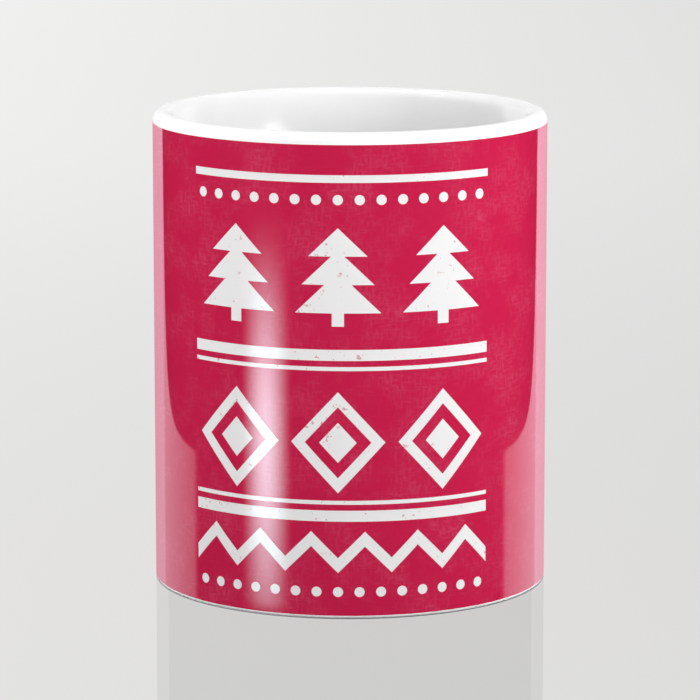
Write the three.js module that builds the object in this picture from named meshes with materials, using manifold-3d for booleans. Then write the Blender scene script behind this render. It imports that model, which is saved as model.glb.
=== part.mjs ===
// An empty straight-sided mug of glazed stoneware, with a loop handle and a printed wrap.
// Millimetres, +Z up. The mug stands on the XY plane, its handle points to +Y and the middle of
// its print faces -Y. The origin lies under the middle of the whole, handle included.
// Body and handle are one piece of clay.
import * as THREE from "three";
import { mergeVertices, toCreasedNormals } from "three/addons/utils/BufferGeometryUtils.js";
import Module from "manifold-3d";

// Body: driving dimensions
const OUTER_DIAMETER = 80;
const HEIGHT = 96.5;
const WALL = 4.2;
const BASE_THICKNESS = 6;
const INNER_FILLET = 9;
const BOTTOM_EDGE_RADIUS = 0.7;
const FOOT_RING_WIDTH = 5;
const FOOT_RECESS = 1.6;

// Handle: driving dimensions. The loop's line runs through the middle of its section.
const HANDLE_TOP = 77;
const HANDLE_BOTTOM = 21;
const HANDLE_REACH = 31;
const HANDLE_SQUARENESS = 2.5;
const HANDLE_WIDTH = 13.5;
const HANDLE_THICKNESS = 8.6;
const ROOT_DEPTH = 2.6;
const ROOT_FLARE = 0.24;
const ROOT_FLARE_LENGTH = 4.5;

// Printed wrap: the field of colour on the outside, open at the handle
const PRINT_BOTTOM = BOTTOM_EDGE_RADIUS;
const PRINT_TOP = HEIGHT - WALL / 2;
const PRINT_GAP_ANGLE = THREE.MathUtils.degToRad(45);
const PRINT_COLOUR = new THREE.Color("#c4224e");
const GLAZE_COLOUR = new THREE.Color("#f4f4f2");
const GLAZE_ROUGHNESS = 0.08;

// Fineness of the faceted surfaces
const TURNS = 96;
const ARC_DIVISIONS = 4;
const HANDLE_STEPS = 44;
const SECTION_DIVISIONS = 10;
const CREASE_ANGLE = THREE.MathUtils.degToRad(30);
const EDGE_TOLERANCE = 0.01;

const outerRadius = OUTER_DIAMETER / 2;
const innerRadius = outerRadius - WALL;
const lipRadius = WALL / 2;

// Everything is made around the body's axis, and moved at the end so that the origin is in the middle.
const axisShift = -(HANDLE_REACH + HANDLE_THICKNESS / 2) / 2;

const wasm = await Module();
wasm.setup();

// Half of the body's section, from the axis under the base, up the outside, over the round lip
// and down the inside, back to the axis. X is the radius and Y is the height.
function bodySection() {
  const footOuter = outerRadius - BOTTOM_EDGE_RADIUS;
  const footInner = footOuter - FOOT_RING_WIDTH;
  const section = new THREE.Path();
  section.moveTo(0, FOOT_RECESS);
  section.lineTo(footInner - FOOT_RECESS, FOOT_RECESS);
  section.lineTo(footInner, 0);
  section.lineTo(footOuter, 0);
  section.absarc(footOuter, BOTTOM_EDGE_RADIUS, BOTTOM_EDGE_RADIUS, -Math.PI / 2, 0, false);
  section.lineTo(outerRadius, HEIGHT - lipRadius);
  section.absarc(outerRadius - lipRadius, HEIGHT - lipRadius, lipRadius, 0, Math.PI, false);
  section.lineTo(innerRadius, BASE_THICKNESS + INNER_FILLET);
  section.absarc(
    innerRadius - INNER_FILLET,
    BASE_THICKNESS + INNER_FILLET,
    INNER_FILLET,
    0,
    -Math.PI / 2,
    true,
  );
  section.lineTo(0, BASE_THICKNESS);
  return section.getPoints(ARC_DIVISIONS);
}

function bodyGeometry() {
  return new THREE.LatheGeometry(bodySection(), TURNS).rotateX(Math.PI / 2);
}

// The line of the loop in the YZ plane: half of a squarish ellipse that starts and ends in the wall.
class HandleLine extends THREE.Curve {
  getPoint(t, target = new THREE.Vector3()) {
    const middle = (HANDLE_TOP + HANDLE_BOTTOM) / 2;
    const halfHeight = (HANDLE_TOP - HANDLE_BOTTOM) / 2;
    const angle = Math.PI * (0.5 - t);
    const power = 2 / HANDLE_SQUARENESS;
    const outwards = Math.max(Math.cos(angle), 0) ** power;
    const upwards = Math.sign(angle) * Math.abs(Math.sin(angle)) ** power;
    const rootY = outerRadius - ROOT_DEPTH;
    return target.set(0, rootY + (HANDLE_REACH + ROOT_DEPTH) * outwards, middle + halfHeight * upwards);
  }
}

// An oval section swept along the loop, widening where each end runs into the wall.
function handleGeometry() {
  const oval = new THREE.Shape();
  oval.absellipse(0, 0, HANDLE_WIDTH / 2, HANDLE_THICKNESS / 2, 0, 2 * Math.PI, false, 0);
  const geometry = new THREE.ExtrudeGeometry(oval, {
    extrudePath: new HandleLine(),
    steps: HANDLE_STEPS,
    curveSegments: SECTION_DIVISIONS,
  });
  const position = geometry.getAttribute("position");
  const middle = (HANDLE_TOP + HANDLE_BOTTOM) / 2;
  for (let i = 0; i < position.count; i++) {
    const root = position.getZ(i) > middle ? HANDLE_TOP : HANDLE_BOTTOM;
    const fromWall = Math.max(position.getY(i) - outerRadius, 0) / ROOT_FLARE_LENGTH;
    const widening = 1 + ROOT_FLARE * Math.exp(-fromWall * fromWall);
    position.setX(i, position.getX(i) * widening);
    position.setZ(i, root + (position.getZ(i) - root) * widening);
  }
  return geometry;
}

// A closed geometry as a solid: shared corners are merged, and triangles that collapse are dropped.
function solidOf(geometry) {
  const bare = new THREE.BufferGeometry();
  bare.setAttribute("position", geometry.getAttribute("position"));
  bare.setIndex(geometry.getIndex());
  const merged = mergeVertices(bare, EDGE_TOLERANCE);
  const corners = merged.getIndex().array;
  const kept = [];
  for (let i = 0; i < corners.length; i += 3) {
    const [a, b, c] = corners.slice(i, i + 3);
    if (a !== b && b !== c && c !== a) kept.push(a, b, c);
  }
  return new wasm.Manifold(
    new wasm.Mesh({
      numProp: 3,
      vertProperties: merged.getAttribute("position").array,
      triVerts: new Uint32Array(kept),
    }),
  );
}

function geometryOf(solid) {
  const mesh = solid.getMesh();
  const geometry = new THREE.BufferGeometry();
  geometry.setAttribute("position", new THREE.BufferAttribute(mesh.vertProperties, 3));
  geometry.setIndex(new THREE.BufferAttribute(mesh.triVerts, 1));
  return toCreasedNormals(geometry, CREASE_ANGLE);
}

// A point is printed where it lies on the outer wall, inside the wrap and away from the handle.
function isPrinted(point) {
  const onWall = Math.abs(Math.hypot(point.x, point.y) - outerRadius) < WALL / 4;
  const inHeight = point.z > PRINT_BOTTOM && point.z < PRINT_TOP;
  const fromHandle = Math.abs(Math.atan2(point.x, point.y));
  return onWall && inHeight && fromHandle > PRINT_GAP_ANGLE / 2;
}

// One flat colour for each triangle, by where its middle lies.
function paint(geometry) {
  const position = geometry.getAttribute("position");
  const colours = new THREE.BufferAttribute(new Float32Array(position.count * 3), 3);
  const corner = new THREE.Vector3();
  for (let first = 0; first < position.count; first += 3) {
    const middle = new THREE.Vector3();
    for (let i = first; i < first + 3; i++) middle.add(corner.fromBufferAttribute(position, i));
    const colour = isPrinted(middle.divideScalar(3)) ? PRINT_COLOUR : GLAZE_COLOUR;
    for (let i = first; i < first + 3; i++) colours.setXYZ(i, colour.r, colour.g, colour.b);
  }
  geometry.setAttribute("color", colours);
  return geometry;
}

function makeMug() {
  const clay = solidOf(bodyGeometry()).add(solidOf(handleGeometry()));
  const glaze = new THREE.MeshStandardMaterial({
    color: "#ffffff",
    vertexColors: true,
    roughness: GLAZE_ROUGHNESS,
    metalness: 0,
  });
  const mug = new THREE.Mesh(paint(geometryOf(clay)).translate(0, axisShift, 0), glaze);
  mug.name = "mug";
  return mug;
}

const printedMug = new THREE.Group();
printedMug.add(makeMug());

export default printedMug;
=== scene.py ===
"""A printed mug of glazed stoneware in a plain pale studio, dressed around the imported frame.

Metres, +Z up. The handle points to +Y and the middle of the print faces -Y.
"""

import math

import bmesh
import bpy
from mathutils import Matrix, Vector


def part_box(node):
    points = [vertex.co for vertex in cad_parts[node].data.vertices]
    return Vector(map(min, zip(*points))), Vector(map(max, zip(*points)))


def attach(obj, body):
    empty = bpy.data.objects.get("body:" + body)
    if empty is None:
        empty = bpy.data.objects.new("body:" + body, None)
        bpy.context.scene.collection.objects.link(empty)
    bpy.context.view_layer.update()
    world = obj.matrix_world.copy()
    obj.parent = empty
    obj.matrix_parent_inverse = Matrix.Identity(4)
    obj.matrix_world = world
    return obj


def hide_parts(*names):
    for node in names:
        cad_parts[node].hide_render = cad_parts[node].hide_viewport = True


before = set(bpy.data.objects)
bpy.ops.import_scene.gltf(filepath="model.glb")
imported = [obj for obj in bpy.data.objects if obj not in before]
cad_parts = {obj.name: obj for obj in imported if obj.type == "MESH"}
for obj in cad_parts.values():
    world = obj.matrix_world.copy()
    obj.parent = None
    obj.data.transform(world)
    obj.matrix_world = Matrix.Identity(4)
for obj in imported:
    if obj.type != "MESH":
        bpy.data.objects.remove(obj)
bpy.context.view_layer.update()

MM = 0.001
MATH = "ShaderNodeMath"

# Sockets of a Mix node that mixes colours
MIX_SHARE = 0
MIX_FROM = 6
MIX_TO = 7
MIX_RESULT = 2

# Sizes. The outside comes from the frame, and the rest repeats the part's source.
low_corner, high_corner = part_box("mug")
RADIUS = (high_corner[0] - low_corner[0]) / 2
HEIGHT = high_corner[2]
AXIS_Y = low_corner[1] + RADIUS
WALL = 4.2 * MM
LIP_RADIUS = WALL / 2
BASE_THICKNESS = 6 * MM
INNER_FILLET = 9 * MM
BOTTOM_EDGE = 0.7 * MM
FOOT_RING = 5 * MM
FOOT_RECESS = 1.6 * MM

HANDLE_TOP = 77 * MM
HANDLE_BOTTOM = 21 * MM
HANDLE_MIDDLE = (HANDLE_TOP + HANDLE_BOTTOM) / 2
HANDLE_WIDTH = 13.5 * MM
HANDLE_THICKNESS = 8.6 * MM
HANDLE_REACH = high_corner[1] - AXIS_Y - RADIUS - HANDLE_THICKNESS / 2
HANDLE_SQUARENESS = 2.5
ROOT_DEPTH = 2.6 * MM
ROOT_FLARE = 0.24
ROOT_FLARE_LENGTH = 4.5 * MM

# Printed wrap on the outer wall, open at the handle
PRINT_BOTTOM = BOTTOM_EDGE
PRINT_TOP = 94.25 * MM
PRINT_GAP = math.radians(45)

# Cage of the mug before subdivision smooths it. A row is a height above the table.
COLUMNS = 64
OUTER_ROWS = (3 * MM, 9 * MM, 36 * MM, HANDLE_MIDDLE, 62 * MM, 88 * MM)
INNER_ROWS = (91 * MM, 80 * MM, 64 * MM, 48 * MM, 32 * MM, 20 * MM)
CREASE = 0.3 * MM
BOTTOM_EDGE_SIDES = 3
LIP_SIDES = 8
FILLET_SIDES = 5
ROOT_COLUMNS = 4
ROOT_ROW = 5.2 * MM
ROOT_HALF_WIDTH = 10.4 * MM
ROOT_HALF_HEIGHT = 7.6 * MM
ROOT_STANDOFF = 3.4 * MM
HANDLE_CORNERS = 12
HANDLE_RINGS = 15
MERGE_DISTANCE = 0.01 * MM
SMOOTH_LEVELS = 2

# The mug's finishes, in the order of its material slots. A face counts as on the outer wall, or on the
# table, when its middle lies this near.
GLAZE = 0
PRINT = 1
CLAY = 2
NEAR_WALL = 0.4 * MM
NEAR_TABLE = 0.05 * MM

# Glaze: one clear dipped coat over the white body and the print alike
GLAZE_IOR = 1.5
GLAZE_POOL = 14 * MM
GLAZE_SMOOTHEST = 0.02
GLAZE_ROUGHEST = 0.06
GLAZE_RIPPLE = 0.05
GLAZE_RIPPLE_DEPTH = 0.2 * MM

# Bare clay of the foot ring
CLAY_IOR = 1.5
CLAY_ROUGHNESS = 0.85
CLAY_GRIT = 0.7 * MM
CLAY_RELIEF = 0.4
CLAY_RELIEF_DEPTH = 0.1 * MM

# White design of the print: a panel of bands on the front. Sizes are in millimetres, along the wall from
# the middle of the front and up from the table. A widening, a lean or a slope is a ratio.
PANEL_HALF_WIDTH = 32
MOTIF_SPACING = 2 * PANEL_HALF_WIDTH / 3
TREE_TOP = 78
TREE_TIER = 5.6
TREE_TIERS = 3
TREE_WIDENING = 0.24
TREE_TIER_WIDENING = 0.8
TREE_TRUNK = 2.6
TREE_TRUNK_HALF_WIDTH = 1.2
DIAMOND_HEIGHT = 35.5
DIAMOND_LEAN = 1.08
DIAMOND_FRAME = 8.6
DIAMOND_FRAME_HALF = 1.5
DIAMOND_CORE = 4
ZIGZAG_HEIGHT = 13.5
ZIGZAG_SPACING = MOTIF_SPACING / 4
ZIGZAG_SLOPE = 1.0
ZIGZAG_HALF = 1.5
DOT_SPACING = 2 * PANEL_HALF_WIDTH / 15
DOT_RADIUS = 1.0
DOT_HEIGHTS = (83.5, 5.5)
# Each rule is its height and half its thickness.
RULES = ((87.6, 0.75), (52.9, 1.1), (50.2, 0.4), (20.8, 1.1), (23.5, 0.4))

# Wear of the print, with sizes in millimetres. Starts and ends are values of the noise. The threads of the
# ground's weave are too fine to show at their real size, so they are drawn as coarse as they need to be.
SMUDGE = 11
SMUDGE_START = 0.43
SMUDGE_END = 0.74
LEAST_RUB = 0.02
MOST_RUB = 0.32
THREAD = 0.28
THREAD_STRETCH = 4
WEAVE_START = 0.48
WEAVE_END = 0.75
LEAST_WEAVE = 0.2
CHIP = 0.5
CHIP_PATCH = 9
CHIP_PATCH_START = 0.35
CHIP_PATCH_END = 0.7
CHIP_START_SOUND = 0.7
CHIP_START_WORN = 0.615
CHIP_EDGE = 0.04
INK_LEFT_IN_CHIP = 0.45

# Camera, as the outline in the photograph gives it
CAMERA_AZIMUTH = math.radians(3.4)
CAMERA_ELEVATION = math.radians(10.252)
CAMERA_DISTANCE = 856.9 * MM
CAMERA_LENS = 215.25
CAMERA_SENSOR = 36
AIM_HEIGHT = 46.77 * MM

# Floor: paper that glows with painted light, a little brighter far away and to the left
FLOOR_SIZE = 40
FLOOR_GLOW = 0.732
FLOOR_FAR_GLOW = 0.803
FLOOR_RISE_START = 0.03
FLOOR_RISE_END = 0.75
FLOOR_SIDE = 0.3
FLOOR_TILT = 0.123
FLOOR_ROUGHNESS = 0.9

# Painted shade on the floor, as clear grey sheets. The painted reflection of the mug keeps its shade for a
# share of its length, and is paler at both edges of its width. The painted contact line widens to a painted
# shadow behind, by the cosine of the turn from straight behind.
PAINTED_REFLECTION_LENGTH = 260 * MM
PAINTED_REFLECTION_FULL_SHARE = 0.44
PAINTED_REFLECTION_EDGE_SHARE = 0.938
PAINTED_REFLECTION_SHADE = 0.825
PAINTED_REFLECTION_EDGE_SHADE = 0.885
CONTACT_DEPTH = 0.7
CONTACT_REACH = 1.5 * MM
CONTACT_SOFT = 0.6 * MM
SHADOW_DEPTH = 0.4
SHADOW_REACH = 20 * MM
SHADOW_START = 0.3
SHADOW_FULL = 0.95

# Glowing sheets that only the mug's gloss sees, as painted reflections and highlights, by the turn from the
# camera and the height at which the wall mirrors them. Most lie on the floor, and those that the inner wall
# mirrors lie close before it.
SHEET_STEPS = 64
SHEET_LIFT = 0.2 * MM
GLOSS_TINT = "#d6f3ff"
GROUND_TINT = "#c1274f"
SIGHT_TURN = math.radians(87.2)

BAND_TURN = math.radians(69.5)
BAND_TOP = 1.3 * HEIGHT
BAND_LEFT_LIGHT = 0.321
BAND_RIGHT_LIGHT = 0.39

FLARE_TURN = math.radians(49)
FLARE_SOFT_TURN = math.radians(51.8)
FLARE_TOP = 30.7 * MM
FLARE_CURVE = 3 * MM
FLARE_CURVE_TURN = math.radians(70.2)
FLARE_SHARE = 0.2
FLARE_SHARE_RISE = 0.5
FLARE_LEFT_LIGHT = 0.321
FLARE_RIGHT_LIGHT = 0.401

STRIP_TURN = math.radians(24.5)
STRIP_HALF_TURN = math.radians(8)
STRIP_LIGHT = 0.71
STRIP_RISE_START = -16 * MM
STRIP_RISE_END = 37 * MM
STRIP_FALL_START = 34 * MM
STRIP_FALL_END = 81.5 * MM
STRIP_BASE = 3 * MM

CUP_SHEET_GAP = 2 * MM
CUP_SHEET_DEPTH = 12 * MM
CUP_BAND_TURN = math.radians(59.1)
CUP_BAND_LEAN = math.radians(1) / MM
CUP_LEFT_LIGHT = 0.07
CUP_LEFT_GROUND = 0.88
CUP_RIGHT_LIGHT = 0.125
CUP_RIGHT_GROUND = 0.66
CUP_SPOT_TURN = math.radians(26.5)
CUP_SPOT_HALF_TURN = math.radians(6.5)
CUP_SPOT_TOP = 5.3 * MM
CUP_SPOT_FULL = 8.5 * MM
CUP_SPOT_LIGHT = 0.3
CUP_SPOT_GROUND = 0.8

BACKDROP_DISTANCE = 0.85
BACKDROP_HEIGHT = 1.1
BACKDROP_TURN = math.radians(120)
BACKDROP_GLOW = 0.9

# Lights. A place is to the right, away from the camera and up, from the foot of the mug's axis.
LIGHT_AIM = HEIGHT * 0.6
SIDE_TURN = math.radians(55)
SIDE_DISTANCE = 0.26
SIDE_HEIGHT = 0.11
SIDE_SIZE = 0.15
RIGHT_POWER = 0.44
LEFT_POWER = 0.475
FRONT_PLACE = (0.35, -0.5, 0.45)
FRONT_SIZE = 0.3
FRONT_POWER = 1.6
LOW_PLACE = (0.45, -0.1, 0.2)
LOW_SIZE = 0.2
LOW_POWER = 0.35
TOP_PLACE = (-0.35, 0.25, 1)
TOP_SIZE = 0.2
TOP_POWER = 5.2
BEHIND_PLACE = (0, 0.6, 0.15)
BEHIND_SIZE = 0.3
BEHIND_POWER = 2
WORLD_GLOW = 0.16


def linear(hex_colour):
    """An sRGB hex colour as the linear values that shaders take."""
    shares = [int(hex_colour[i : i + 2], 16) / 255 for i in (1, 3, 5)]
    straight = [s / 12.92 if s <= 0.04045 else ((s + 0.055) / 1.055) ** 2.4 for s in shares]
    return (*straight, 1)


def add(tree, kind, inputs=(), out=0, **settings):
    """Adds a node with its settings, sets or links its inputs, and gives one of its outputs."""
    made = tree.nodes.new(kind)
    for name, value in settings.items():
        setattr(made, name, value)
    places = inputs.items() if isinstance(inputs, dict) else enumerate(inputs)
    for place, value in places:
        if isinstance(value, bpy.types.NodeSocket):
            tree.links.new(value, made.inputs[place])
        else:
            made.inputs[place].default_value = value
    return made.outputs[out] if made.outputs else None


def new_material(name):
    """An empty material and its node tree."""
    material = bpy.data.materials.new(name)
    material.use_nodes = True
    material.node_tree.nodes.clear()
    return material, material.node_tree


def put(maker, name, materials):
    """A mesh object at the origin from a filled bmesh."""
    mesh = bpy.data.meshes.new(name)
    maker.to_mesh(mesh)
    maker.free()
    for material in materials:
        mesh.materials.append(material)
    made = bpy.data.objects.new(name, mesh)
    bpy.context.scene.collection.objects.link(made)
    return made


# Shape of the mug


def cage_factor(step):
    """How much wider a cage is than the round that subdivision makes of it, for a turn of step a side."""
    return 3 / (2 + math.cos(step))


def arc(middle, radius, start, end, sides):
    """Cage points of a round stretch of the section, as (distance from the axis, height)."""
    step = math.radians(end - start) / sides
    points = []
    for i in range(sides + 1):
        turn = math.radians(start) + step * i
        wide = radius * (cage_factor(step) if 0 < i < sides else 1)
        points.append((middle[0] + wide * math.cos(turn), middle[1] + wide * math.sin(turn)))
    return points


def body_section():
    """Half of the body's section, from the axis under the base, up the outside and down the inside."""
    foot_outer = RADIUS - BOTTOM_EDGE
    foot_inner = foot_outer - FOOT_RING
    inside = RADIUS - WALL
    underside = [
        (0, FOOT_RECESS),
        (foot_inner / 2, FOOT_RECESS),
        (foot_inner - FOOT_RECESS - CREASE, FOOT_RECESS),
        (foot_inner - FOOT_RECESS + CREASE, FOOT_RECESS - CREASE),
        (foot_inner - CREASE, CREASE),
        (foot_inner + CREASE, 0),
        (foot_inner + FOOT_RING / 2, 0),
    ]
    edge = arc((foot_outer, BOTTOM_EDGE), BOTTOM_EDGE, -90, 0, BOTTOM_EDGE_SIDES)
    roots = [
        root + side * ROOT_ROW
        for root in (HANDLE_BOTTOM, HANDLE_TOP)
        for side in (-1, 0, 1)
    ]
    print_edges = [PRINT_BOTTOM + CREASE, PRINT_TOP - CREASE, PRINT_TOP]
    outer_wall = [(RADIUS, height) for height in sorted([*roots, *OUTER_ROWS, *print_edges])]
    lip = arc((RADIUS - LIP_RADIUS, HEIGHT - LIP_RADIUS), LIP_RADIUS, 0, 180, LIP_SIDES)
    inner_wall = [(inside, height) for height in INNER_ROWS]
    fillet_middle = (inside - INNER_FILLET, BASE_THICKNESS + INNER_FILLET)
    fillet = arc(fillet_middle, INNER_FILLET, 0, -90, FILLET_SIDES)
    cup_floor = [(inside / 2, BASE_THICKNESS), (0, BASE_THICKNESS)]
    return underside + edge + outer_wall + lip + inner_wall + fillet + cup_floor


def handle_point(angle):
    """A point on the handle's line in the plane of the loop, at an angle from its middle."""
    power = 2 / HANDLE_SQUARENESS
    outwards = max(math.cos(angle), 0) ** power
    upwards = math.copysign(abs(math.sin(angle)) ** power, angle)
    root_y = AXIS_Y + RADIUS - ROOT_DEPTH
    half_height = (HANDLE_TOP - HANDLE_BOTTOM) / 2
    place_y = root_y + (HANDLE_REACH + ROOT_DEPTH) * outwards
    return Vector((0, place_y, HANDLE_MIDDLE + half_height * upwards))


def handle_ring(maker, angle):
    """One oval ring of the handle's cage, square to its line. Gives the ring's edges."""
    place = handle_point(angle)
    small_turn = 0.01
    along = (handle_point(angle - small_turn) - handle_point(angle + small_turn)).normalized()
    across = Vector((1, 0, 0))
    outwards = along.cross(across)
    from_wall = (place.y - AXIS_Y - RADIUS) / ROOT_FLARE_LENGTH
    widening = 1 + ROOT_FLARE * math.exp(-from_wall * from_wall)
    size = widening * cage_factor(2 * math.pi / HANDLE_CORNERS) / 2
    turned = Matrix((across, outwards, along)).transposed().to_4x4()
    oval = Matrix.Diagonal((HANDLE_WIDTH * size, HANDLE_THICKNESS * size, 1, 1))
    matrix = Matrix.Translation(place) @ turned @ oval
    ring = bmesh.ops.create_circle(maker, segments=HANDLE_CORNERS, radius=1, matrix=matrix)
    return list({edge for vert in ring["verts"] for edge in vert.link_edges})


def from_handle(place):
    """The turn around the axis from the middle of the handle to a place."""
    return abs(math.atan2(place.x, place.y - AXIS_Y))


def around_axis(place):
    """The distance of a place from the mug's axis."""
    return math.hypot(place.x, place.y - AXIS_Y)


def open_root(maker, height):
    """Opens an oval hole in the wall where one end of the handle grows. Gives the edges of the hole."""
    half_width = (ROOT_COLUMNS / 2) * (2 * math.pi / COLUMNS)
    faces = []
    for face in maker.faces:
        middle = face.calc_center_median()
        on_wall = around_axis(middle) > RADIUS - WALL / 2
        if on_wall and from_handle(middle) < half_width and abs(middle.z - height) < ROOT_ROW:
            faces.append(face)
    touched = {edge for face in faces for edge in face.edges}
    bmesh.ops.delete(maker, geom=faces, context="FACES")
    rim = [edge for edge in touched if edge.is_valid]
    corners = {vert for edge in rim for vert in edge.verts}

    def turn_in_hole(vert):
        turn = math.atan2(vert.co.z - height, vert.co.x)
        return (turn + math.pi / len(corners)) % (2 * math.pi)

    for i, vert in enumerate(sorted(corners, key=turn_in_hole)):
        turn = 2 * math.pi * i / len(corners)
        out = around_axis(vert.co)
        around = ROOT_HALF_WIDTH / RADIUS * math.cos(turn)
        vert.co.x = out * math.sin(around)
        vert.co.y = AXIS_Y + out * math.cos(around)
        vert.co.z = height + ROOT_HALF_HEIGHT * math.sin(turn)
    return rim


def finish_of(face):
    """Which of the mug's materials a face of the cage shows."""
    middle = face.calc_center_median()
    out = around_axis(middle)
    in_height = PRINT_BOTTOM < middle.z < PRINT_TOP
    if in_height and abs(out - RADIUS) < NEAR_WALL and from_handle(middle) > PRINT_GAP / 2:
        return PRINT
    foot_middle = RADIUS - BOTTOM_EDGE - FOOT_RING / 2
    if middle.z < NEAR_TABLE and abs(out - foot_middle) < FOOT_RING / 2:
        return CLAY
    return GLAZE


def make_mug(materials):
    """The whole mug: a turned body, opened behind at two places from which the handle grows."""
    maker = bmesh.new()
    wider = cage_factor(2 * math.pi / COLUMNS)
    verts = [maker.verts.new((0, AXIS_Y - out * wider, height)) for out, height in body_section()]
    edges = [maker.edges.new(pair) for pair in zip(verts, verts[1:])]
    bmesh.ops.spin(
        maker,
        geom=verts + edges,
        cent=(0, AXIS_Y, 0),
        axis=(0, 0, 1),
        angle=2 * math.pi,
        steps=COLUMNS,
        use_merge=True,
    )
    bmesh.ops.remove_doubles(maker, verts=maker.verts[:], dist=MERGE_DISTANCE)
    holes = [open_root(maker, HANDLE_TOP), open_root(maker, HANDLE_BOTTOM)]
    into_wall = (ROOT_STANDOFF + ROOT_DEPTH) / (HANDLE_REACH + ROOT_DEPTH)
    first = math.acos(into_wall ** (HANDLE_SQUARENESS / 2))
    turns = [first * (1 - 2 * i / (HANDLE_RINGS - 1)) for i in range(HANDLE_RINGS)]
    rings = [handle_ring(maker, turn) for turn in turns]
    loops = [holes[0], *rings, holes[1]]
    for one, other in zip(loops, loops[1:]):
        bmesh.ops.bridge_loops(maker, edges=one + other)
    bmesh.ops.recalc_face_normals(maker, faces=maker.faces[:])
    for face in maker.faces:
        face.smooth = True
        face.material_index = finish_of(face)
    mug = put(maker, "mug_body", materials)
    smooth = mug.modifiers.new("smooth", "SUBSURF")
    smooth.levels = smooth.render_levels = SMOOTH_LEVELS
    return mug


# Finishes


def pooled_glaze(tree, place):
    """Where the dipped coat of glaze pooled a little thicker, from 0 to 1."""
    return add(tree, "ShaderNodeTexNoise", {"Vector": place, "Scale": 1 / GLAZE_POOL, "Detail": 2})


def cover_with_glaze(tree, colour, pooling):
    """Finishes a material with the clear coat: very smooth, with a faint ripple where it pooled."""
    sheen = add(
        tree,
        "ShaderNodeMapRange",
        {"Value": pooling, "To Min": GLAZE_SMOOTHEST, "To Max": GLAZE_ROUGHEST},
    )
    ripple = add(
        tree,
        "ShaderNodeBump",
        {"Strength": GLAZE_RIPPLE, "Distance": GLAZE_RIPPLE_DEPTH, "Height": pooling},
    )
    shader = add(
        tree,
        "ShaderNodeBsdfPrincipled",
        {"Base Color": colour, "Roughness": sheen, "IOR": GLAZE_IOR, "Normal": ripple},
    )
    add(tree, "ShaderNodeOutputMaterial", {"Surface": shader})


def white_glaze():
    """Clear glaze over white stoneware: bright, very smooth, with the faint unevenness of a dipped coat."""
    material, tree = new_material("white_glaze")
    place = add(tree, "ShaderNodeTexCoord", out="Object")
    pooling = pooled_glaze(tree, place)
    colour = add(
        tree,
        "ShaderNodeMix",
        {MIX_SHARE: pooling, MIX_FROM: linear("#f3f3f3"), MIX_TO: linear("#fbfbfb")},
        out=MIX_RESULT,
        data_type="RGBA",
    )
    cover_with_glaze(tree, colour, pooling)
    return material


def bare_clay():
    """Unglazed fired stoneware on the foot ring: dull cream with fine grit."""
    material, tree = new_material("bare_clay")
    place = add(tree, "ShaderNodeTexCoord", out="Object")
    grit = add(
        tree,
        "ShaderNodeTexNoise",
        {"Vector": place, "Scale": 1 / CLAY_GRIT, "Detail": 4, "Roughness": 0.7},
    )
    colour = add(
        tree,
        "ShaderNodeMix",
        {MIX_SHARE: grit, MIX_FROM: linear("#d6cfc2"), MIX_TO: linear("#ece7dd")},
        out=MIX_RESULT,
        data_type="RGBA",
    )
    relief = add(
        tree,
        "ShaderNodeBump",
        {"Strength": CLAY_RELIEF, "Distance": CLAY_RELIEF_DEPTH, "Height": grit},
    )
    shader = add(
        tree,
        "ShaderNodeBsdfPrincipled",
        {"Base Color": colour, "Roughness": CLAY_ROUGHNESS, "IOR": CLAY_IOR, "Normal": relief},
    )
    add(tree, "ShaderNodeOutputMaterial", {"Surface": shader})
    return material


# Each motif of the design gives masks that are one on it and zero beside it. They read places in
# millimetres: along the wall, up from the table, and aside from the middle line of the nearest motif.


def rules(tree, up):
    """Plain rules across the panel."""
    return [add(tree, MATH, (up, height, half), operation="COMPARE") for height, half in RULES]


def fir_trees(tree, aside, up):
    """Trees of tiers that widen downwards, each on a short trunk."""
    depth = add(tree, MATH, (TREE_TOP, up), operation="SUBTRACT")
    in_tier = add(tree, MATH, (depth, TREE_TIER), operation="FLOORED_MODULO")
    taper = add(tree, MATH, (depth, TREE_WIDENING), operation="MULTIPLY")
    spread = add(tree, MATH, (in_tier, TREE_TIER_WIDENING, taper), operation="MULTIPLY_ADD")
    in_branches = add(tree, MATH, (aside, spread), operation="LESS_THAN")
    tree_half = TREE_TIER * TREE_TIERS / 2
    in_tree = add(tree, MATH, (depth, tree_half, tree_half), operation="COMPARE")
    branches = add(tree, MATH, (in_branches, in_tree), operation="MULTIPLY")

    trunk_half = TREE_TRUNK / 2
    trunk_up = add(tree, MATH, (depth, 2 * tree_half + trunk_half, trunk_half), operation="COMPARE")
    trunk_wide = add(tree, MATH, (aside, TREE_TRUNK_HALF_WIDTH), operation="LESS_THAN")
    trunk = add(tree, MATH, (trunk_up, trunk_wide), operation="MULTIPLY")
    return [branches, trunk]


def diamonds(tree, aside, up):
    """Diamonds, each a frame around a smaller core."""
    above = add(tree, MATH, (up, DIAMOND_HEIGHT), operation="SUBTRACT")
    off_middle = add(tree, MATH, (above,), operation="ABSOLUTE")
    slant = add(tree, MATH, (aside, DIAMOND_LEAN, off_middle), operation="MULTIPLY_ADD")
    edge = add(tree, MATH, (slant, DIAMOND_FRAME, DIAMOND_FRAME_HALF), operation="COMPARE")
    core = add(tree, MATH, (slant, DIAMOND_CORE), operation="LESS_THAN")
    return [edge, core]


def zigzag(tree, along, up):
    """One zigzag line across the panel."""
    wave = add(tree, MATH, (along, ZIGZAG_SPACING), operation="PINGPONG")
    foot = ZIGZAG_HEIGHT - ZIGZAG_SLOPE * ZIGZAG_SPACING / 2
    line = add(tree, MATH, (wave, ZIGZAG_SLOPE, foot), operation="MULTIPLY_ADD")
    return [add(tree, MATH, (up, line, ZIGZAG_HALF), operation="COMPARE")]


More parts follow.
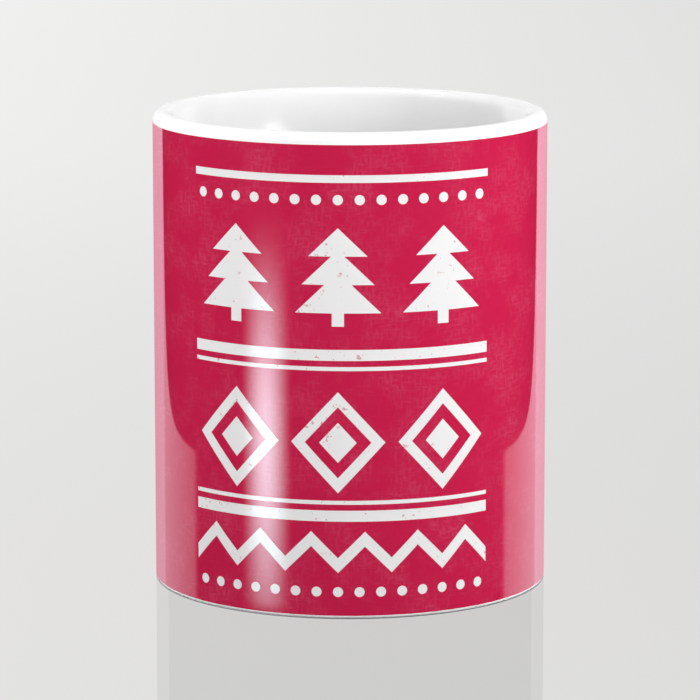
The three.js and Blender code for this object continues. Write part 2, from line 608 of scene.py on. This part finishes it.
def dot_rows(tree, along, up):
    """Rows of round dots."""
    beside = add(tree, MATH, (along, DOT_SPACING / 2), operation="PINGPONG")
    rows = []
    for height in DOT_HEIGHTS:
        above = add(tree, MATH, (up, height), operation="SUBTRACT")
        squared = add(tree, MATH, (above, above), operation="MULTIPLY")
        apart = add(tree, MATH, (beside, beside, squared), operation="MULTIPLY_ADD")
        rows.append(add(tree, MATH, (apart, DOT_RADIUS**2), operation="LESS_THAN"))
    return rows


def design_mask(tree, along, up):
    """One where the white design lies on the wall and zero on the ground."""
    aside = add(tree, MATH, (along, MOTIF_SPACING / 2), operation="PINGPONG")
    marks = [
        *rules(tree, up),
        *fir_trees(tree, aside, up),
        *diamonds(tree, aside, up),
        *zigzag(tree, along, up),
        *dot_rows(tree, along, up),
    ]
    whole = marks[0]
    for mark in marks[1:]:
        whole = add(tree, MATH, (whole, mark), operation="MAXIMUM")
    on_panel = add(tree, MATH, (along, 0, PANEL_HALF_WIDTH), operation="COMPARE")
    return add(tree, MATH, (whole, on_panel), operation="MULTIPLY")


def worn_ground(tree, flat_place):
    """How far the crimson ground is rubbed: soft smudges in which a weave shows, from places in mm."""
    smudges = add(
        tree,
        "ShaderNodeTexNoise",
        {"Vector": flat_place, "Scale": 1 / SMUDGE, "Detail": 4, "Roughness": 0.6},
    )
    threads = []
    for scale in ((1, 1 / THREAD_STRETCH, 1), (1 / THREAD_STRETCH, 1, 1)):
        drawn = add(tree, "ShaderNodeMapping", {"Vector": flat_place, "Scale": scale})
        noise = {"Vector": drawn, "Scale": 1 / (2 * THREAD), "Detail": 1, "Roughness": 0.5}
        threads.append(add(tree, "ShaderNodeTexNoise", noise))
    crossed = add(tree, MATH, threads, operation="MAXIMUM")
    weave = add(
        tree,
        "ShaderNodeMapRange",
        {"Value": crossed, "From Min": WEAVE_START, "From Max": WEAVE_END, "To Min": LEAST_WEAVE},
    )
    rubbed = add(
        tree,
        "ShaderNodeMapRange",
        {
            "Value": smudges,
            "From Min": SMUDGE_START,
            "From Max": SMUDGE_END,
            "To Min": LEAST_RUB,
            "To Max": MOST_RUB,
        },
    )
    return add(tree, MATH, (rubbed, weave), operation="MULTIPLY")


def kept_ink(tree, place):
    """How much of the white ink is left: all of it, but for small chips that are more in worn patches."""
    chips = add(
        tree,
        "ShaderNodeTexNoise",
        {"Vector": place, "Scale": 1 / (2 * CHIP * MM), "Detail": 3, "Roughness": 0.65},
    )
    patches = add(
        tree,
        "ShaderNodeTexNoise",
        {"Vector": place, "Scale": 1 / (CHIP_PATCH * MM), "Detail": 2},
    )
    start = add(
        tree,
        "ShaderNodeMapRange",
        {
            "Value": patches,
            "From Min": CHIP_PATCH_START,
            "From Max": CHIP_PATCH_END,
            "To Min": CHIP_START_SOUND,
            "To Max": CHIP_START_WORN,
        },
    )
    chipped = add(tree, MATH, (chips, start), operation="SUBTRACT")
    return add(
        tree,
        "ShaderNodeMapRange",
        {"Value": chipped, "From Max": CHIP_EDGE, "To Min": 1, "To Max": INK_LEFT_IN_CHIP},
    )


def printed_glaze():
    """Crimson and white ink under clear glaze: flat strong colour, a little worn, as glossy as the rest."""
    material, tree = new_material("printed_glaze")
    place = add(tree, "ShaderNodeTexCoord", out="Object")
    to_mm = 1 / MM
    centred = add(
        tree,
        "ShaderNodeMapping",
        {"Vector": place, "Location": (0, AXIS_Y * to_mm, 0), "Scale": (to_mm, -to_mm, to_mm)},
    )
    split = add(tree, "ShaderNodeSeparateXYZ", (centred,)).node
    turn = add(tree, MATH, (split.outputs["X"], split.outputs["Y"]), operation="ARCTAN2")
    along = add(tree, MATH, (turn, RADIUS * to_mm), operation="MULTIPLY")
    up = split.outputs["Z"]
    flat_place = add(tree, "ShaderNodeCombineXYZ", (along, up, 0))
    ground = add(
        tree,
        "ShaderNodeMix",
        {
            MIX_SHARE: worn_ground(tree, flat_place),
            MIX_FROM: linear("#c11e48"),
            MIX_TO: linear("#dc7492"),
        },
        out=MIX_RESULT,
        data_type="RGBA",
    )
    marks = (design_mask(tree, along, up), kept_ink(tree, place))
    inked = add(tree, MATH, marks, operation="MULTIPLY")
    colour = add(
        tree,
        "ShaderNodeMix",
        {MIX_SHARE: inked, MIX_FROM: ground, MIX_TO: linear("#ebeaea")},
        out=MIX_RESULT,
        data_type="RGBA",
    )
    cover_with_glaze(tree, colour, pooled_glaze(tree, place))
    return material


# Stage


def around_camera(right, back, up):
    """A place given from the mug's axis as the camera sees it: to the right, away from it, and up."""
    turned = Matrix.Rotation(CAMERA_AZIMUTH, 3, "Z") @ Vector((right, back, 0))
    return Vector((turned.x, turned.y + AXIS_Y, up))


def eye():
    """Where the camera stands."""
    level = math.cos(CAMERA_ELEVATION) * CAMERA_DISTANCE
    rise = math.sin(CAMERA_ELEVATION) * CAMERA_DISTANCE
    return around_camera(0, -level, AIM_HEIGHT + rise)


def turn_to(thing, aim):
    """Turns a camera or a lamp from where it stands towards a place."""
    thing.rotation_euler = (aim - thing.location).to_track_quat("-Z", "Y").to_euler()


def smooth_step(value, start, end):
    """Rises smoothly from 0 at start to 1 at end."""
    share = min(max((value - start) / (end - start), 0), 1)
    return share * share * (3 - 2 * share)


def matt_paper():
    """Matt white paper that glows by itself with painted light in place of the lamps: no gloss, and the
    painted glow grows far away and to the left.
    """
    material, tree = new_material("matt_paper")
    place = add(tree, "ShaderNodeTexCoord", out="Object")
    turned = add(
        tree,
        "ShaderNodeMapping",
        {"Vector": place, "Location": (0, AXIS_Y, 0), "Rotation": (0, 0, CAMERA_AZIMUTH)},
        vector_type="TEXTURE",
    )
    split = add(tree, "ShaderNodeSeparateXYZ", (turned,)).node
    rise = add(
        tree,
        "ShaderNodeMapRange",
        {
            "Value": split.outputs["Y"],
            "From Min": FLOOR_RISE_START,
            "From Max": FLOOR_RISE_END,
            "To Min": FLOOR_GLOW,
            "To Max": FLOOR_FAR_GLOW,
        },
        interpolation_type="SMOOTHSTEP",
    )
    tilt = add(
        tree,
        "ShaderNodeMapRange",
        {
            "Value": split.outputs["X"],
            "From Min": -FLOOR_SIDE,
            "From Max": FLOOR_SIDE,
            "To Min": 1 + FLOOR_TILT,
            "To Max": 1 - FLOOR_TILT,
        },
    )
    # Painted light: the floor's own glow, brighter far away and to the left.
    glow = add(tree, MATH, (rise, tilt), operation="MULTIPLY")
    shader = add(
        tree,
        "ShaderNodeBsdfPrincipled",
        {
            "Base Color": linear("#4a4a4a"),
            "Roughness": FLOOR_ROUGHNESS,
            "Specular IOR Level": 0.0,
            "Emission Color": linear("#fffffe"),
            "Emission Strength": glow,
        },
    )
    add(tree, "ShaderNodeOutputMaterial", {"Surface": shader})
    return material


def make_floor():
    """A wide sheet of paper under the mug, which lights nothing and shows in no gloss."""
    maker = bmesh.new()
    bmesh.ops.create_grid(maker, x_segments=1, y_segments=1, size=FLOOR_SIZE)
    floor = put(maker, "floor", [matt_paper()])
    floor.visible_glossy = False
    floor.visible_diffuse = False


def sheet(name, material, layout):
    """A sheet made from a grid. The layout gives each corner's place and colour from its shares along
    the two sides."""
    maker = bmesh.new()
    tint = maker.verts.layers.float_color.new("tint")
    grid = bmesh.ops.create_grid(maker, x_segments=SHEET_STEPS, y_segments=SHEET_STEPS, size=0.5)
    for vert in grid["verts"]:
        vert.co, colour = layout(vert.co.x + 0.5, vert.co.y + 0.5)
        vert[tint] = (*colour, 1)
    made = put(maker, name, [material])
    made.visible_diffuse = False
    made.visible_shadow = False
    return made


def painted_shade_film():
    """A clear grey sheet that paints shade: in each corner's own grey it dims what lies below it, and it
    has no gloss.
    """
    material, tree = new_material("painted_shade_film")
    tint = add(tree, "ShaderNodeAttribute", attribute_name="tint")
    shader = add(tree, "ShaderNodeBsdfTransparent", {"Color": tint})
    add(tree, "ShaderNodeOutputMaterial", {"Surface": shader})
    return material


def make_painted_shade():
    """Painted shade on the floor, as clear grey sheets: a dull, dark painted reflection of the mug in front
    of it, and a painted dark contact line under it, which widens to a painted soft shadow behind."""
    shade_paint = painted_shade_film()
    level = math.cos(CAMERA_ELEVATION) * CAMERA_DISTANCE
    half_sight = math.asin(RADIUS / level)

    # Painted reflection: a darker strip on the floor in front of the mug, where its dull mirror image would
    # lie.
    def painted_reflection(start, end, shade):
        def layout(across, along):
            heading = half_sight * (start + (end - start) * across)
            reach = level - PAINTED_REFLECTION_LENGTH * along
            right = reach * math.sin(heading)
            back = reach * math.cos(heading) - level
            dimmed = 1 - (1 - shade) * (1 - smooth_step(along, PAINTED_REFLECTION_FULL_SHARE, 1))
            return around_camera(right, back, SHEET_LIFT / 4), (dimmed, dimmed, dimmed)

        return layout

    # Painted contact shadow: a dark line under the mug's edge, which widens to a soft painted shadow
    # behind.
    def painted_contact_line(across, along):
        turn = 2 * math.pi * across
        behind = smooth_step(-math.cos(turn), SHADOW_START, SHADOW_FULL)
        reach = CONTACT_REACH + SHADOW_REACH * behind
        from_wall = reach * along - CONTACT_REACH * (1 - along)
        out = RADIUS + from_wall
        place = around_camera(out * math.sin(turn), -out * math.cos(turn), SHEET_LIFT / 2)
        soft = CONTACT_SOFT * math.hypot(math.cos(turn), math.sin(turn) * math.sin(CAMERA_ELEVATION))
        line = CONTACT_DEPTH * math.sqrt(abs(math.cos(turn))) * (1 - smooth_step(from_wall, 0, soft))
        shadow = SHADOW_DEPTH * behind * (1 - smooth_step(from_wall, 0, reach))
        dimmed = (1 - line) * (1 - shadow)
        return place, (dimmed, dimmed, dimmed)

    painted_shades = [
        sheet("painted_reflection_middle", shade_paint, painted_reflection(-PAINTED_REFLECTION_EDGE_SHARE, PAINTED_REFLECTION_EDGE_SHARE, PAINTED_REFLECTION_SHADE)),
        sheet("painted_reflection_left", shade_paint, painted_reflection(-1, -PAINTED_REFLECTION_EDGE_SHARE, PAINTED_REFLECTION_EDGE_SHADE)),
        sheet("painted_reflection_right", shade_paint, painted_reflection(PAINTED_REFLECTION_EDGE_SHARE, 1, PAINTED_REFLECTION_EDGE_SHADE)),
        sheet("painted_contact_shadow", shade_paint, painted_contact_line),
    ]
    for made in painted_shades:
        made.visible_glossy = False


def mirrored_share(cosine):
    """The share of light that glaze mirrors, from the cosine of the angle at which it comes in."""
    bent = math.sqrt(GLAZE_IOR**2 - 1 + cosine**2)
    across = (bent - cosine) / (bent + cosine)
    along = (cosine * (bent + cosine) - 1) / (cosine * (bent - cosine) + 1)
    return across**2 * (1 + along**2) / 2


def mirrored_ray(turn, height, out):
    """A point of the wall that faces a turn to the right of the camera, the way in which it mirrors the
    camera's sight, and the share that it mirrors. On the inner wall the distance out is negative."""
    wall = around_camera(out * math.sin(turn), -out * math.cos(turn), height)
    normal = (wall - around_camera(0, 0, height)).normalized() * math.copysign(1, out)
    inwards = (wall - eye()).normalized()
    return wall, inwards.reflect(normal), mirrored_share(-inwards.dot(normal))


def on_floor(turn, height, light):
    """The place on the floor that the outer wall mirrors to the camera, and the colour in which it must
    glow to add some light there. The mirrored share hides as much of the ground below the gloss, so the
    glow makes up for that too."""
    height = max(height, SHEET_LIFT)
    wall, outwards, share = mirrored_ray(turn, height, RADIUS)
    place = wall + outwards * ((height - SHEET_LIFT) / -outwards.z)
    tints = zip(linear(GLOSS_TINT)[:3], linear(GROUND_TINT))
    return place, [light * gloss / share + ground for gloss, ground in tints]


def in_cup(turn, depth, light, ground):
    """The same for the inner wall, at a depth below the lip. The place is close before the wall, and the
    ground is how bright the inside is there."""
    wall, outwards, share = mirrored_ray(turn, HEIGHT - depth, WALL - RADIUS)
    return wall + outwards * CUP_SHEET_GAP, [light / share + ground] * 3


def gloss_light(name, behind_only):
    """An even glow in each corner's own colour. It can be clear from the front and glow behind only."""
    material, tree = new_material(name)
    tint = add(tree, "ShaderNodeAttribute", attribute_name="tint")
    shader = add(tree, "ShaderNodeEmission", {"Color": tint, "Strength": 1.0})
    if behind_only:
        clear = add(tree, "ShaderNodeBsdfTransparent")
        behind = add(tree, "ShaderNodeNewGeometry", out="Backfacing")
        shader = add(tree, "ShaderNodeMixShader", (behind, clear, shader))
    add(tree, "ShaderNodeOutputMaterial", {"Surface": shader})
    return material


# Layouts of the glowing sheets, each a painted reflection in the mug's gloss. A side is 1 on the right of
# the picture and -1 on the left.


def band(side, light):
    """A pale band along one side of the outer wall."""

    def layout(across, up):
        turn = BAND_TURN + (SIGHT_TURN - BAND_TURN) * across
        return on_floor(side * turn, BAND_TOP * up, light)

    return layout


def flare(side, light):
    """The foot of a band, which widens in a curve towards the middle."""

    def layout(across, up):
        turn = FLARE_TURN + (BAND_TURN - FLARE_TURN) * across
        from_curve = (FLARE_CURVE_TURN - FLARE_TURN) / (FLARE_CURVE_TURN - turn)
        top = min(FLARE_TOP + FLARE_CURVE * (from_curve - 1), HEIGHT)
        soft = smooth_step(turn, FLARE_TURN, FLARE_SOFT_TURN)
        share = FLARE_SHARE + FLARE_SHARE_RISE * across
        return on_floor(side * turn, top * up, light * soft * share)

    return layout


def strip(across, up):
    """The painted highlight: a bright upright strip on the left of the outer wall, soft all round."""
    turn = STRIP_HALF_TURN * (2 * across - 1)
    height = HEIGHT * up
    light = STRIP_LIGHT * (1 - smooth_step(abs(turn), 0, STRIP_HALF_TURN))
    rise = smooth_step(height, STRIP_RISE_START, STRIP_RISE_END)
    fall = 1 - smooth_step(height, STRIP_FALL_START, STRIP_FALL_END)
    from_base = smooth_step(height, 0, STRIP_BASE)
    return on_floor(turn - STRIP_TURN, height, light * rise * fall * from_base)


def cup_band(side, light, ground):
    """A pale band along one side of the inner wall, which faces the other way than the outer wall."""

    def layout(across, down):
        depth = CUP_SHEET_DEPTH * down
        start = CUP_BAND_TURN + CUP_BAND_LEAN * depth
        share = across if side < 0 else 1 - across
        return in_cup(-side * (start + (SIGHT_TURN - start) * share), depth, light, ground)

    return layout


def cup_spot(across, down):
    """A soft spot on the inner wall, a little below the lip."""
    turn = CUP_SPOT_HALF_TURN * (2 * across - 1)
    depth = CUP_SPOT_TOP + CUP_SHEET_DEPTH * down
    light = CUP_SPOT_LIGHT * (1 - smooth_step(abs(turn), 0, CUP_SPOT_HALF_TURN))
    light *= smooth_step(depth, CUP_SPOT_TOP, CUP_SPOT_FULL)
    return in_cup(CUP_SPOT_TURN + turn, depth, light, CUP_SPOT_GROUND)


def backdrop(across, up):
    """A tall curved wall around the back, which the lip mirrors."""
    turn = BACKDROP_TURN * (2 * across - 1)
    right = BACKDROP_DISTANCE * math.sin(turn)
    back = BACKDROP_DISTANCE * math.cos(turn)
    return around_camera(right, back, BACKDROP_HEIGHT * up), [BACKDROP_GLOW] * 3


def make_gloss_sheets():
    """Painted reflections: what the mug's gloss shows, outside and inside the cup. The camera sees none of
    the sheets.
    """
    floor_light = gloss_light("floor_light", False)
    cup_light = gloss_light("cup_light", True)
    sheets = [
        sheet("gloss_backdrop", floor_light, backdrop),
        sheet("gloss_band_left", floor_light, band(-1, BAND_LEFT_LIGHT)),
        sheet("gloss_band_right", floor_light, band(1, BAND_RIGHT_LIGHT)),
        sheet("gloss_flare_left", floor_light, flare(-1, FLARE_LEFT_LIGHT)),
        sheet("gloss_flare_right", floor_light, flare(1, FLARE_RIGHT_LIGHT)),
        sheet("gloss_strip", floor_light, strip),
        sheet("gloss_cup_left", cup_light, cup_band(-1, CUP_LEFT_LIGHT, CUP_LEFT_GROUND)),
        sheet("gloss_cup_right", cup_light, cup_band(1, CUP_RIGHT_LIGHT, CUP_RIGHT_GROUND)),
        sheet("gloss_cup_spot", cup_light, cup_spot),
    ]
    for made in sheets:
        made.visible_camera = False


def soft_light(name, place, size, power, receivers, shows=False):
    """A square soft box at a place, turned to the mug. It lights one collection, and may show in gloss."""
    light = bpy.data.lights.new(name, "AREA")
    light.shape = "SQUARE"
    light.size = size
    light.energy = power
    lamp = bpy.data.objects.new(name, light)
    lamp.location = around_camera(*place)
    turn_to(lamp, around_camera(0, 0, LIGHT_AIM))
    lamp.visible_glossy = shows
    lamp.light_linking.receiver_collection = receivers
    bpy.context.scene.collection.objects.link(lamp)


def make_lights(mug):
    """Soft boxes that light the mug and leave the floor alone."""
    mug_alone = bpy.data.collections.new("mug_alone")
    mug_alone.objects.link(mug)
    side = SIDE_DISTANCE * math.sin(SIDE_TURN)
    front = -SIDE_DISTANCE * math.cos(SIDE_TURN)
    soft_light("light_right", (side, front, SIDE_HEIGHT), SIDE_SIZE, RIGHT_POWER, mug_alone)
    soft_light("light_left", (-side, front, SIDE_HEIGHT), SIDE_SIZE, LEFT_POWER, mug_alone)
    soft_light("light_front", FRONT_PLACE, FRONT_SIZE, FRONT_POWER, mug_alone)
    soft_light("light_low", LOW_PLACE, LOW_SIZE, LOW_POWER, mug_alone)
    soft_light("light_top", TOP_PLACE, TOP_SIZE, TOP_POWER, mug_alone, shows=True)
    soft_light("light_behind", BEHIND_PLACE, BEHIND_SIZE, BEHIND_POWER, mug_alone)


def make_world():
    """A dim even light from all around, which looks as pale as the far floor and shows in no gloss."""
    world = bpy.data.worlds.new("studio")
    world.use_nodes = True
    tree = world.node_tree
    tree.nodes.clear()
    seen = add(tree, "ShaderNodeLightPath", out="Is Camera Ray")
    glow = add(
        tree,
        "ShaderNodeMapRange",
        {"Value": seen, "To Min": WORLD_GLOW, "To Max": FLOOR_FAR_GLOW},
    )
    background = add(tree, "ShaderNodeBackground", {"Color": (1, 1, 1, 1), "Strength": glow})
    add(tree, "ShaderNodeOutputWorld", {"Surface": background})
    world.cycles_visibility.glossy = False
    bpy.context.scene.world = world


def make_camera():
    """The camera at the photograph's viewing angle."""
    data = bpy.data.cameras.new("camera")
    data.lens = CAMERA_LENS
    data.sensor_width = CAMERA_SENSOR
    data.sensor_fit = "HORIZONTAL"
    camera = bpy.data.objects.new("camera", data)
    camera.location = eye()
    turn_to(camera, around_camera(0, 0, AIM_HEIGHT))
    bpy.context.scene.collection.objects.link(camera)
    bpy.context.scene.camera = camera


make_camera()
bpy.context.scene.view_settings.view_transform = "Standard"

mug = make_mug([white_glaze(), printed_glaze(), bare_clay()])
make_floor()
make_painted_shade()
make_gloss_sheets()
make_lights(mug)
make_world()
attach(mug, "root")
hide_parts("mug")

bpy.context.view_layer.update()
